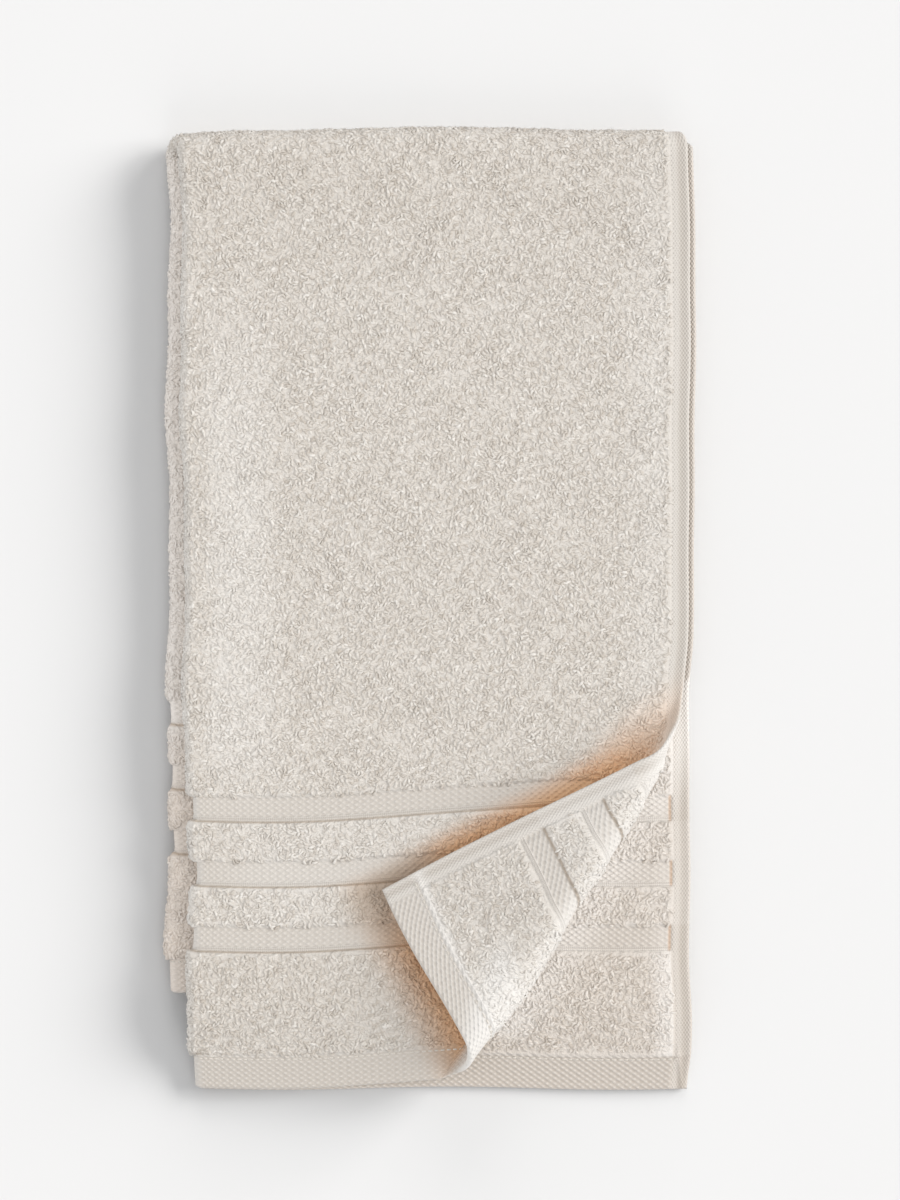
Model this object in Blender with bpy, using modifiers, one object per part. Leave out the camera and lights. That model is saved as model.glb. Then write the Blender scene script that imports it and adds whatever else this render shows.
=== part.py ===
"""A terry hand towel, folded in half lengthwise and then crosswise, with one front corner turned over.

Metres. X runs across the folded towel, Y from its hems to the crosswise fold, and Z is up.
Layers, from the top: upper front, lower front, inner rear, outer rear.
"""

import math

import bmesh
import bpy

# The flat cloth: u runs across it from the selvedge of the upper front layer, v along it from the front hem.
WIDTH = 0.500
LENGTH = 0.900
SELVEDGE = 0.009
HEM = 0.0175
END_PILE = 0.0515
BAND = 0.0127
PILE_STRIP = 0.0193
STEP = 0.0015  # the run over which the pile drops to a flat band

PILE_THICK = 0.0050
HEM_THICK = 0.0030
FLAT_THICK = 0.0020

# The lengthwise fold. The lower selvedge sticks out past the upper one.
LAYER_GAP = 0.0054  # between the middles of two layers
OVERLAP = 0.003
FOLD_U = (WIDTH - OVERLAP) / 2
HALF_GAP = LAYER_GAP / 2
FOLD_ARC = math.pi * HALF_GAP
BACK_X = 0.1281  # the upper selvedge
LEFT_X = BACK_X - FOLD_U + FOLD_ARC / 2
NARROWING = 0.018  # the front half is drawn in at the hem by this share of its width

# The crosswise fold, and the rear half that lies under the front one.
TOP_Y = 0.2377
FRONT_Y = -0.2377
BEND = LAYER_GAP
REAR_Z = PILE_THICK / 2 + HALF_GAP
FRONT_Z = REAR_Z + 2 * BEND
BEND_Y = TOP_Y - BEND - HALF_GAP - PILE_THICK / 2
FRONT_RUN = BEND_Y - FRONT_Y
BEND_ARC = math.pi * BEND
REAR_END_Y = BEND_Y - (LENGTH - FRONT_RUN - BEND_ARC)
REAR_SHIFT = -0.0065

# Depth by which the lengthwise fold is drawn in at flat bands and hems.
FRONT_RECESS = 0.0029
REAR_RECESS = 0.0013
REAR_END_BULGE = 0.0014  # the rear half's end pile puffs out past the rest
RECESS_FADE = 0.009

# The turned corner: the upper front layer rolls up along a slanting line and comes back down to the left.
ROLL_NORMAL = (0.8536, -0.5210)
ROLL_ALONG = (0.5210, 0.8536)
ROLL_START = 0.1290
ROLL_REACH = 0.0064  # the roll's section is half an ellipse, this far out
ROLL_RISE = 0.0101  # and half this high
HEM_FLARE = 0.0048  # the roll opens by this much more at the hem
FLARE_FROM = -0.1345
FLARE_TO = -0.1840
ROLL_TURN = math.radians(185)
ROLL_DRIFT = 0.0044  # how far the flap slips along the roll, most of it over the first run
DRIFT_RUN = 0.022
ROLL_BULGE = 0.0046  # the roll reaches out by this much more between its ends
BULGE_FROM = -0.179
BULGE_TO = 0.010
BULGE_FADES = (0.050, 0.025)
BULGE_DENT = (0.40, -0.082, 0.012)  # and less by this share at a flat band, there, over so much
RISE = 0.0086  # how far the upper layer is drawn up beside the roll
RISE_FROM_X = -0.087
RISE_TO_X = 0.068
RISE_FULL_V = 0.14
RISE_FADE_V = 0.19

# The front end hangs over the rear half's end and comes down to the table.
SAG = 0.0116
SAG_RUN = 0.046
HEM_TAPER = 0.0020  # the lower selvedge runs in by this much along the hem
HEM_DROP = 0.0012  # and the lower front layer's hem reaches this much further than the upper one's
HEM_DROP_RUN = 0.050
TAPER_POWER = 9  # and the taper stays close to the selvedge

# Unevenness: thickness swells by this share above a height, and edges wander.
UNEVEN = 0.045
UNEVEN_FROM_Z = 0.0030
SWELLS = (  # waves per metre in x and y, phase
    (31, 9, 0.6),
    (-19, 47, 2.1),
)
EDGE_WAVES = (  # size, waves per metre, phase
    (0.0009, 41, 0.4),
    (0.0006, 97, 1.9),
)
BACK_STEADY = 0.65  # share of the wandering that the selvedges don't have
SIDE_STEP = (0.0019, -0.047, 0.034)  # the selvedges stand out by this much from there on, over so much
SIDE_SWELL = (0.0013, 0.125, 0.055)
SIDE_FOOT = (0.0017, -0.170, 0.045)
END_WAVE = (0.0008, 38, 1.1)
CORNER_DROP = 0.0028  # the corner between the two folds is rounded off
CORNER_REACH = 0.016
CORNER_RUN = 0.030

# Distances between the solid's lines.
ROLL_LINES_U = 0.0123
ROLL_LINES_V = 0.0127
ROLL_END_U = 0.132
ROLL_END_V = 0.222
UPPER_LINES = 0.020
FRONT_LINES = 0.027
HIDDEN_LINES = 0.030
FOLD_LINES = 6
BEND_LINES = 7
NEAR_FOLD = (0.005, 0.013)
SPLIT_OVER = 0.0075  # longer edges are cut in three where the corner rolls
SPLIT_MARGIN = 0.0035


def smooth(t):
    """0 to 1, level at both ends."""
    t = min(max(t, 0.0), 1.0)
    return t * t * (3 - 2 * t)


def zone_ends():
    """Distances from a hem's edge at which hem, pile and flat bands end."""
    ends = [HEM]
    for run in (END_PILE, BAND, PILE_STRIP, BAND, PILE_STRIP, BAND):
        ends.append(ends[-1] + run)
    return ends


ZONE_ENDS = zone_ends()


def is_flat(v):
    """True in the hems and the flat bands."""
    v = min(v, LENGTH - v)
    passed = sum(v > end for end in ZONE_ENDS)
    return passed < 7 and passed % 2 == 0


def thickness(u, v):
    if min(v, LENGTH - v) < HEM:
        return HEM_THICK
    if is_flat(v) or min(u, WIDTH - u) < SELVEDGE:
        return FLAT_THICK
    return PILE_THICK


def fold_lengthwise(u, v):
    """x from the fold's inner end, and the height above the middle of the two layers."""
    from_fold = FOLD_U - u
    if abs(from_fold) <= FOLD_ARC / 2:
        turn = from_fold / HALF_GAP
        x = -HALF_GAP * math.cos(turn)
        height = HALF_GAP * math.sin(turn)
    else:
        x = abs(from_fold) - FOLD_ARC / 2
        height = math.copysign(HALF_GAP, from_fold)
    if is_flat(v):
        recess = FRONT_RECESS if v < LENGTH / 2 else REAR_RECESS
        x += recess * math.exp(-max(x, 0) / RECESS_FADE)
    elif v > LENGTH - ZONE_ENDS[1]:
        x -= REAR_END_BULGE * math.exp(-max(x, 0) / RECESS_FADE)
    return x, height


def fold_crosswise(x, v, height):
    """The place in the folded towel, before the corner is turned over."""
    full = BACK_X - LEFT_X
    if v < FRONT_RUN:
        draw = 1 - NARROWING * (1 - v / FRONT_RUN)
        lower = max(-height / HALF_GAP, 0)
        taper = HEM_TAPER * max(1 - v / HEM, 0) * max(x / full, 0) ** TAPER_POWER * lower
        drop = HEM_DROP * max(1 - v / HEM_DROP_RUN, 0) * lower
        return BACK_X - (full - x) * draw - taper, FRONT_Y + v - drop, FRONT_Z + height
    past = v - FRONT_RUN
    if past < BEND_ARC:
        turn = past / BEND
        shift = REAR_SHIFT * smooth(turn / math.pi)
        y = BEND_Y + (BEND + height) * math.sin(turn)
        z = REAR_Z + BEND + (BEND + height) * math.cos(turn)
        return LEFT_X + x + shift, y, z
    y = BEND_Y - (past - BEND_ARC)
    return LEFT_X + x + REAR_SHIFT, y, REAR_Z - height


def past_roll(x, y):
    """How far a place in the upper front layer lies past the line where it starts to roll."""
    return ROLL_NORMAL[0] * x + ROLL_NORMAL[1] * y - ROLL_START


def mean_radius(reach, rise):
    """The radius of a circle with an ellipse's way round."""
    return math.sqrt((reach**2 + rise**2) / 2)


def roll_bulge(along):
    """How much further the roll reaches out at a place along it."""
    ends = smooth((along - BULGE_FROM) / BULGE_FADES[0]) * smooth((BULGE_TO - along) / BULGE_FADES[1])
    share, middle, run = BULGE_DENT
    return ROLL_BULGE * ends * (1 - share * math.exp(-(((along - middle) / run) ** 2)))


def turn_corner(x, y, z):
    """Rolls the upper front layer's corner up and over."""
    run = past_roll(x, y)
    if run <= 0:
        return x, y, z
    along = ROLL_ALONG[0] * x + ROLL_ALONG[1] * y
    reach = ROLL_REACH
    rise = ROLL_RISE + HEM_FLARE * smooth((FLARE_FROM - along) / (FLARE_FROM - FLARE_TO))
    mean = mean_radius(reach, rise)
    turn = min(run / mean, ROLL_TURN)
    rest = run - turn * mean
    slope = math.atan2(rise * math.sin(turn), reach * math.cos(turn))
    out = (reach + roll_bulge(along)) * math.sin(turn) + rest * math.cos(slope)
    up = rise * (1 - math.cos(turn)) + rest * math.sin(slope)
    drift = ROLL_DRIFT * (1 - math.exp(-run / DRIFT_RUN))
    x += (out - run) * ROLL_NORMAL[0] + drift * ROLL_ALONG[0]
    y += (out - run) * ROLL_NORMAL[1] + drift * ROLL_ALONG[1]
    return x, y, z + up


def draw_up(x, y, v):
    """The upper front layer is drawn up a little beside the roll, and the flap goes with it."""
    x = min(x, (ROLL_START - ROLL_NORMAL[1] * y) / ROLL_NORMAL[0])
    across = min(max((x - RISE_FROM_X) / (RISE_TO_X - RISE_FROM_X), 0.0), 1.0)
    return y + RISE * across**2 * (1 - smooth((v - RISE_FULL_V) / RISE_FADE_V))


def stand_out(y):
    """How far the selvedges' side stands out at a place along it."""
    step, step_y, step_run = SIDE_STEP
    swell, swell_y, swell_run = SIDE_SWELL
    foot, foot_y, foot_run = SIDE_FOOT
    out = step * smooth((y - step_y) / step_run) + foot * smooth((foot_y - y) / foot_run)
    return out + swell * math.exp(-(((y - swell_y) / swell_run) ** 2))


def settle(x, y, z):
    """The front end comes down past the rear half's end, and the pile makes all of it a little uneven."""
    z -= SAG * smooth((REAR_END_Y - y) / SAG_RUN)
    swell = sum(math.sin(a * x + b * y + phase) for a, b, phase in SWELLS) / len(SWELLS)
    z += max(z - UNEVEN_FROM_Z, 0) * UNEVEN * swell
    from_left = (x - LEFT_X) / (BACK_X - LEFT_X)
    wander = sum(size * math.sin(waves * y + phase) for size, waves, phase in EDGE_WAVES)
    size, waves, phase = END_WAVE
    up = size * math.sin(waves * x + phase)
    corner = math.exp(-max(x - LEFT_X, 0) / CORNER_REACH) * smooth((y - TOP_Y + CORNER_RUN) / CORNER_RUN)
    side = stand_out(y) * max(from_left, 0) ** 3
    return x + wander * (1 - BACK_STEADY * from_left) + side, y + up - CORNER_DROP * corner, z


def place(u, v):
    """Where a point of the flat cloth lies in the folded towel, at the middle of its thickness."""
    x, height = fold_lengthwise(u, v)
    x, y, z = fold_crosswise(x, v, height)
    if u < FOLD_U and v < FRONT_RUN:
        y = draw_up(x, y, v)
        x, y, z = turn_corner(x, y, z)
    return settle(x, y, z)


def spread(start, end, step):
    """Places between two ends, about a step apart, with both ends left out."""
    count = max(round((end - start) / step), 1)
    return [start + (end - start) * i / count for i in range(1, count)]


def lines_across():
    """u of each line along the cloth, close together where the corner rolls."""
    pile = SELVEDGE + STEP / 2
    arc_start = FOLD_U - FOLD_ARC / 2
    arc_end = FOLD_U + FOLD_ARC / 2
    near, far = NEAR_FOLD
    lines = [0.0, SELVEDGE - STEP / 2, pile]
    lines += spread(pile, ROLL_END_U, ROLL_LINES_U) + [ROLL_END_U]
    lines += spread(ROLL_END_U, arc_start - far, UPPER_LINES)
    lines += [arc_start - far, arc_start - near, arc_start]
    lines += spread(arc_start, arc_end, FOLD_ARC / FOLD_LINES)
    lines += [arc_end, arc_end + near, arc_end + far]
    lines += spread(arc_end + far, WIDTH - pile, HIDDEN_LINES)
    lines += [WIDTH - pile, WIDTH - SELVEDGE + STEP / 2, WIDTH]
    return lines


def lines_from_hem(pile_lines):
    """v of each line from a hem's edge to the start of the main pile."""
    lines = [0.0, HEM / 2]
    for end, next_end in zip(ZONE_ENDS, ZONE_ENDS[1:] + [ZONE_ENDS[-1]]):
        lines += [end - STEP / 2, end + STEP / 2]
        if next_end - end > BAND:
            lines += spread(end, next_end, pile_lines)
    return lines


def lines_along():
    """v of each line across the cloth."""
    front = lines_from_hem(END_PILE / 5)
    rear = [LENGTH - v for v in reversed(lines_from_hem(END_PILE / 2))]
    bend_end = FRONT_RUN + BEND_ARC
    lines = front + spread(front[-1], ROLL_END_V, ROLL_LINES_V) + [ROLL_END_V]
    lines += spread(ROLL_END_V, FRONT_RUN, FRONT_LINES) + [FRONT_RUN]
    lines += spread(FRONT_RUN, bend_end, BEND_ARC / BEND_LINES) + [bend_end]
    lines += spread(bend_end, rear[0], HIDDEN_LINES) + rear
    return lines


def rolls(u, v):
    """True for a point of the flat cloth that ends up in the roll."""
    if u > ROLL_END_U or v > ROLL_END_V:
        return False
    x, height = fold_lengthwise(u, v)
    x, y, _ = fold_crosswise(x, v, height)
    roll_end = ROLL_TURN * mean_radius(ROLL_REACH, ROLL_RISE)
    return -SPLIT_MARGIN < past_roll(x, draw_up(x, y, v)) < roll_end + SPLIT_MARGIN


def add_flat_cloth():
    """A flat sheet of quads on the lines, finer where it will roll. X holds u and Y holds v."""
    across, along = lines_across(), lines_along()
    mesh = bmesh.new()
    bmesh.ops.create_grid(mesh, x_segments=len(across) - 1, y_segments=len(along) - 1, size=0.5)
    for vert in mesh.verts:
        i = round((vert.co.x + 0.5) * (len(across) - 1))
        j = round((vert.co.y + 0.5) * (len(along) - 1))
        vert.co = (across[i], along[j], 0)
    rolling = [face for face in mesh.faces if rolls(*face.calc_center_median().xy)]
    edges = {edge for face in rolling for edge in face.edges if edge.calc_length() > SPLIT_OVER}
    bmesh.ops.subdivide_edges(mesh, edges=list(edges), cuts=2, use_grid_fill=True)
    return mesh


def add_towel():
    """The folded sheet, one object in a collection of its own. Its vertex group holds the cloth's thickness."""
    sheet = add_flat_cloth()
    shares = [thickness(vert.co.x, vert.co.y) / PILE_THICK for vert in sheet.verts]
    for vert in sheet.verts:
        vert.co = place(vert.co.x, vert.co.y)
    bmesh.ops.recalc_face_normals(sheet, faces=sheet.faces)
    mesh = bpy.data.meshes.new("towel")
    sheet.to_mesh(mesh)
    sheet.free()
    towel = bpy.data.objects.new("towel", mesh)
    collection = bpy.data.collections.new("hand_towel")
    bpy.context.scene.collection.children.link(collection)
    collection.objects.link(towel)
    group = towel.vertex_groups.new(name="thickness")
    for index, share in enumerate(shares):
        group.add([index], share, "REPLACE")
    return towel


def thicken(towel):
    """Gives the sheet its thickness, half to each side."""
    solidify = towel.modifiers.new("Thickness", "SOLIDIFY")
    solidify.thickness = PILE_THICK
    solidify.offset = 0
    solidify.vertex_group = "thickness"
    bpy.context.view_layer.objects.active = towel
    bpy.ops.object.modifier_apply(modifier=solidify.name)


def centre(towel):
    """Moves the mesh so that the origin is the middle of the footprint, on the table."""
    spots = [vert.co.copy() for vert in towel.data.vertices]
    for axis in (0, 1):
        middle = (min(spot[axis] for spot in spots) + max(spot[axis] for spot in spots)) / 2
        for vert in towel.data.vertices:
            vert.co[axis] -= middle


def ecru_cotton():
    cotton = bpy.data.materials.new("ecru_cotton")
    cotton.use_nodes = True
    principled = cotton.node_tree.nodes["Principled BSDF"]
    principled.inputs["Base Color"].default_value = (0.80, 0.75, 0.68, 1)
    principled.inputs["Roughness"].default_value = 0.95
    return cotton


for old in list(bpy.data.objects):
    bpy.data.objects.remove(old)
hand_towel = add_towel()
thicken(hand_towel)
centre(hand_towel)
hand_towel.data.materials.append(ecru_cotton())
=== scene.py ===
"""The looks of a terry hand towel: its woven ground cloth, the loops of its pile, and its hem stitches.

Every piece is modelled on the flat cloth first, with u across it, v along it and h off its middle,
and is then folded by the same steps as the solid. Metres, with +Z up.
"""

import math

import bpy
import numpy as np
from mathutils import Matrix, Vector


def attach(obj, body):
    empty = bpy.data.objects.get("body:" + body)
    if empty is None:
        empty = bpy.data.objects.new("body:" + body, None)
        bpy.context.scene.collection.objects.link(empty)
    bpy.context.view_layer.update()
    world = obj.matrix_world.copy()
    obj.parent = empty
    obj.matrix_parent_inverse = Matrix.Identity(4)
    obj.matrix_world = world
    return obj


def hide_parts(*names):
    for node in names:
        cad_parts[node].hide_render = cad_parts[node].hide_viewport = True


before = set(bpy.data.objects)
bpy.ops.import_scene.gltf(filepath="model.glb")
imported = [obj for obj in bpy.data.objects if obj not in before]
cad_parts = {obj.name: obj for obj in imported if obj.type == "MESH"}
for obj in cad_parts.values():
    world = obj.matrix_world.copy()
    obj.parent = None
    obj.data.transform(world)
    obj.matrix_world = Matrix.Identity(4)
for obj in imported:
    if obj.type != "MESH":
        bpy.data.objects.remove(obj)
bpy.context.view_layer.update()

MM = 0.001

# The flat cloth: u runs across it from the selvedge of the upper front layer, v along it from the front hem.
WIDTH = 0.500
LENGTH = 0.900
SELVEDGE = 0.009
HEM = 0.0175
END_PILE = 0.0515
BAND = 0.0127
PILE_STRIP = 0.0193
STEP = 0.0015  # the run over which the pile drops to a flat band

# The lengthwise fold. The lower selvedge sticks out past the upper one.
LAYER_GAP = 0.0054  # between the middles of two layers
OVERLAP = 0.003
FOLD_U = (WIDTH - OVERLAP) / 2
HALF_GAP = LAYER_GAP / 2
FOLD_ARC = math.pi * HALF_GAP
BACK_X = 0.1281  # the upper selvedge
LEFT_X = BACK_X - FOLD_U + FOLD_ARC / 2
NARROWING = 0.018  # the front half is drawn in at the hem by this share of its width

# The crosswise fold, and the rear half that lies under the front one.
PILE_THICK = 0.0050
TOP_Y = 0.2377
FRONT_Y = -0.2377
BEND = LAYER_GAP
REAR_Z = PILE_THICK / 2 + HALF_GAP
FRONT_Z = REAR_Z + 2 * BEND
BEND_Y = TOP_Y - BEND - HALF_GAP - PILE_THICK / 2
FRONT_RUN = BEND_Y - FRONT_Y
BEND_ARC = math.pi * BEND
REAR_END_Y = BEND_Y - (LENGTH - FRONT_RUN - BEND_ARC)
REAR_SHIFT = -0.0065

# Depth by which the lengthwise fold is drawn in at flat bands and hems.
FRONT_RECESS = 0.0029
REAR_RECESS = 0.0013
REAR_END_BULGE = 0.0014  # the rear half's end pile puffs out past the rest
RECESS_FADE = 0.009

# The turned corner: the upper front layer rolls up along a slanting line and comes back down to the left.
ROLL_NORMAL = (0.8536, -0.5210)
ROLL_ALONG = (0.5210, 0.8536)
ROLL_START = 0.1290
ROLL_REACH = 0.0064  # the roll's section is half an ellipse, this far out
ROLL_RISE = 0.0101  # and half this high
ROLL_MEAN = math.sqrt((ROLL_REACH**2 + ROLL_RISE**2) / 2)
HEM_FLARE = 0.0048  # the roll opens by this much more at the hem
FLARE_FROM = -0.1345
FLARE_TO = -0.1840
ROLL_TURN = math.radians(185)
ROLL_DRIFT = 0.0044  # how far the flap slips along the roll, most of it over the first run
DRIFT_RUN = 0.022
ROLL_BULGE = 0.0046  # the roll reaches out by this much more between its ends
BULGE_FROM = -0.179
BULGE_TO = 0.010
BULGE_FADES = (0.050, 0.025)
BULGE_DENT = (0.40, -0.082, 0.012)  # and less by this share at a flat band, there, over so much
RISE = 0.0086  # how far the upper layer is drawn up beside the roll
RISE_FROM_X = -0.087
RISE_TO_X = 0.068
RISE_FULL_V = 0.14
RISE_FADE_V = 0.19

# The front end hangs over the rear half's end and comes down to the table.
SAG = 0.0116
SAG_RUN = 0.046
HEM_TAPER = 0.0020  # the lower selvedge runs in by this much along the hem
HEM_DROP = 0.0012  # and the lower front layer's hem reaches this much further than the upper one's
HEM_DROP_RUN = 0.050
TAPER_POWER = 9  # and the taper stays close to the selvedge

# Unevenness: thickness swells by this share above a height, and edges wander.
UNEVEN = 0.045
UNEVEN_FROM_Z = 0.0030
SWELLS = ((31, 9, 0.6), (-19, 47, 2.1))  # waves per metre in x and y, phase
EDGE_WAVES = ((0.0009, 41, 0.4), (0.0006, 97, 1.9))  # size, waves per metre, phase
BACK_STEADY = 0.65  # share of the wandering that the selvedges don't have
SIDE_STEP = (0.0019, -0.047, 0.034)  # the selvedges stand out by this much from there on, over so much
SIDE_SWELL = (0.0013, 0.125, 0.055)
SIDE_FOOT = (0.0017, -0.170, 0.045)
END_WAVE = (0.0008, 38, 1.1)
CORNER_DROP = 0.0028  # the corner between the two folds is rounded off
CORNER_REACH = 0.016
CORNER_RUN = 0.030
SHIFT = (-0.002236, 0.000799)  # from the folding's own origin to the middle of the footprint
PROBE = 0.0002  # the step over which the folded cloth's slope is measured

# The ground's faces: their size in several parts of the cloth, and how far the finer ones go.
FACE_EDGE = 0.7 * MM
FACE_FOLD = 0.85 * MM
FACE_SHOWN = 2.6 * MM
FACE_CORNER = 3 * MM
FACE_LEVEL = 9 * MM
FACE_BAND = 0.62 * MM
FACE_REAR_BAND = 1.3 * MM
FACE_REAR = 3.6 * MM
FACE_BEND = 1.2 * MM
CORNER_WIDTH = 0.135
CORNER_LENGTH = 0.225
NEAR_SELVEDGE = 0.002
NEAR_BAND = 0.0015
NEAR_FOLD = 0.012

# Half thicknesses of the ground cloth, under the loops.
PILE_BODY = 0.0015
BAND_BODY = 0.0009
HEM_BODY = 0.0015
SELVEDGE_BODY = 0.0010
EDGE_ROUND = 0.0014
HIDDEN_BODY = 0.0022  # in the hidden layers, which have no loops
HIDDEN_PAST_BEND = (0.010, 0.010)  # where they start to be hidden, and the run over which they are
HIDDEN_PAST_FOLD = (0.014, 0.008)
HIDDEN_PAST_SIDE = (0.016, 0.006)

# The corded stripe on the hem's side of each flat band, and the groove beside it.
STRIPE_RAISE = 0.0004
GROOVE = 0.0007
STRIPE_MM = (0.3, 0.9, 2.1, 2.7)  # where it starts to rise, is level, starts to fall and ends
GROOVE_AT_MM = -0.3
GROOVE_MM = (0, 0.45, 0.9)
LOWER_CORD = 0.4  # the share of it that shows on the lower half

# The ground's weaves and lines, in millimetres from a band's edge.
CORD_MM = (0, 0.4, 2.4, 2.8)
INSIDE_MM = (-2, 5)
CREASE_MM = (-0.1, 0.42)  # the painted shade line in the groove at a band's edge: its middle and its half width
FLAP_CREASE_MM = (0, 0.8)

RIM = (0.0032, -0.0016)  # darker towards the selvedge's outer edge
FLAP_HEM_LIGHTER = 0.8  # hems are darker too, but the flap's by this share less
MERGE_WITHIN = 0.01 * MM
BAKE_MARGIN = 0.004

# What stands out on the reverse, in millimetres: the hem's end, its folded corner and a slit by the selvedge.
WELT = 0.75
WELT_MM = (0, 0.5, 1.3)
WELT_SIDE_MM = (3, 5)
SLIT = -0.8
SLIT_AT = 10.0
SLIT_HALF = 0.6
SLIT_FROM_HEM = 2
END_FOLD = 0.8
END_FOLD_AT = 2.6
END_FOLD_SLANT = 0.21
END_FOLD_SPREAD = 0.9
END_FOLD_LENGTH = 19

# The loops of the pile: their size, and how far each may differ from it.
LOOP_PITCH = 0.00176
PITCH_ON_FOLDS = LOOP_PITCH / 1.7
SCATTER = 0.42
LOOP_LENGTH = 0.0039
LENGTH_RANGE = (0.78, 1.2)
LOOP_RADIUS = 0.00080
RADIUS_RANGE = (0.86, 1.16)
LOOP_BOW = 0.0007
BOW_RANGE = (-1.3, 1.3)
TIP_HEIGHT = 0.0026
TIP_SINK = 0.5 * MM
TIP_SWELLS = ((0.15 * MM, 0.012, 12), (0.10 * MM, 0.034, 13))  # size, wave's length, seed
ROOT_HEIGHT = 0.0007
HEADING_SWAY = (0.9, 0.011, 11)
STRETCH_RANGE = (0.5, 2.2)
LOOP_STEPS = np.array([0.24, 0.5, 0.76])
LOOP_CLIMB = np.radians([32, 0, -32])
LOOP_ROUND = np.radians([90, 210, 330])
LOOP_SHARE = np.array([0.72, 1.0, 0.72])
LOOP_SIZES = np.array([0.86, 1.0, 0.86])
LOOP_POINTS = 11
STRETCH_AT = 0.8 * TIP_HEIGHT  # the height at which the cloth's stretch round the folds is measured
LOOPS_A_PIECE = 10500

# How light each loop is: by its points' height, as painted shade towards the roots, by chance, and in patches
# of several sizes.
ROOT_SHADE_CLIMB = 0.72
TONE_CHANCE = 0.08
TONE_PATCHES = ((0.05, 0.03, 14), (0.25, 0.0040, 15), (0.12, 0.0085, 16))  # size, wave's length, seed

# How the pile ends, in millimetres: it hangs over most of its edges, and stops short of the others.
OVERHANG = 0.2
OVERHANG_UNEVEN = (0.5, 0.013, 7)
OFF_REVERSE_HEM = 2.2
OFF_FLAP_BAND = 0.4
OFF_STRIPE = 1.75
OFF_SELVEDGE = 0.55
OFF_SELVEDGE_UNEVEN = (0.35, 0.019, 8)
LAST_AT_STRIPE = 0.3
LOW_AT_BAND = (0.15, 3)  # loops lie lower by this share at the pile's edges, over so much
LOW_AT_STRIPE = (0.12, 2.5)
HANGS_TO = 4

# Where loops are woven in.
ROLLED_V = 0.050
ROLLED_U = 0.020
FLAP_MARGIN = 0.014
PAST_FOLD = 0.006
PAST_FOLD_REAR = 0.013
BEFORE_FOLD_REAR = 0.005
PAST_BEND = 0.007
SIDE_STRIP = 0.0035
REVERSE_WIDTH = 0.150
REVERSE_LENGTH = 0.245
REVERSE_MARGIN = 0.003

random = np.random.default_rng(41)


def zone_ends():
    """Distances from a hem's edge at which hem, pile and flat bands end."""
    ends = [HEM]
    for run in (END_PILE, BAND, PILE_STRIP, BAND, PILE_STRIP, BAND):
        ends.append(ends[-1] + run)
    return ends


ZONE_ENDS = zone_ends()


def smooth(t):
    """0 to 1, level at both ends."""
    t = np.clip(t, 0.0, 1.0)
    return t * t * (3 - 2 * t)


def ramp(value, start, run):
    """0 up to a start, and 1 from a run past it. With a run below 0 it is the other way round."""
    return smooth((value - start) / run)


def hump(value, middle, run):
    """1 at a middle, fading on both sides."""
    return np.exp(-(((value - middle) / run) ** 2))


def from_hem(v):
    """How far places lie from the nearer hem's edge."""
    return np.minimum(v, LENGTH - v)


def from_side(u):
    """How far places lie from the nearer selvedge's edge."""
    return np.minimum(u, WIDTH - u)


def flat_share(v):
    """1 in the hems and the flat bands, 0 in the pile."""
    places, shares = [], []
    for number, end in enumerate(ZONE_ENDS):
        places += [end - STEP / 2, end + STEP / 2]
        shares += [1 - number % 2, number % 2]
    return np.interp(from_hem(v), places, shares)


def fold_lengthwise(u, v):
    """x from the fold's inner end, and the height above the middle of the two layers."""
    from_fold = FOLD_U - u
    turn = np.clip(from_fold, -FOLD_ARC / 2, FOLD_ARC / 2) / HALF_GAP
    x = np.maximum(np.abs(from_fold) - FOLD_ARC / 2, 0) - HALF_GAP * np.cos(turn)
    height = HALF_GAP * np.sin(turn)
    recess = np.where(v < LENGTH / 2, FRONT_RECESS, REAR_RECESS) * flat_share(v)
    bulge_end = LENGTH - ZONE_ENDS[1]
    half = STEP / 2
    places = (bulge_end - half, bulge_end + half, LENGTH - HEM - half, LENGTH - HEM + half)
    bulge = REAR_END_BULGE * np.interp(v, places, (0, 1, 1, 0))
    return x + (recess - bulge) * np.exp(-np.maximum(x, 0) / RECESS_FADE), height


def fold_crosswise(x, v, height):
    """The place in the folded towel, before the corner is turned over."""
    full = BACK_X - LEFT_X
    draw = 1 - NARROWING * (1 - np.minimum(v / FRONT_RUN, 1))
    lower = np.maximum(-height / HALF_GAP, 0)
    taper = HEM_TAPER * np.maximum(1 - v / HEM, 0) * np.maximum(x / full, 0) ** TAPER_POWER * lower
    drop = HEM_DROP * np.maximum(1 - v / HEM_DROP_RUN, 0) * lower
    front_x = BACK_X - (full - x) * draw - taper
    past = v - FRONT_RUN
    turn = np.clip(past / BEND, 0, math.pi)
    rear_x = LEFT_X + x + REAR_SHIFT * smooth(turn / math.pi)
    bend_y = BEND_Y + (BEND + height) * np.sin(turn) - np.maximum(past - BEND_ARC, 0)
    bend_z = REAR_Z + BEND + (BEND + height) * np.cos(turn)
    front = past < 0
    place_x = np.where(front, front_x, rear_x)
    place_y = np.where(front, FRONT_Y + v - drop, bend_y)
    place_z = np.where(front, FRONT_Z + height, bend_z)
    return place_x, place_y, place_z


def past_roll(x, y):
    """How far a place in the upper front layer lies past the line where it starts to roll."""
    return ROLL_NORMAL[0] * x + ROLL_NORMAL[1] * y - ROLL_START


def roll_bulge(along):
    """How much further the roll reaches out at a place along it."""
    ends = smooth((along - BULGE_FROM) / BULGE_FADES[0]) * smooth((BULGE_TO - along) / BULGE_FADES[1])
    share, middle, run = BULGE_DENT
    return ROLL_BULGE * ends * (1 - share * hump(along, middle, run))


def roll_drift(run):
    """How far the flap has slipped along the roll, that far past the line where it starts to roll."""
    return ROLL_DRIFT * (1 - np.exp(-np.maximum(run, 0) / DRIFT_RUN))


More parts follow.
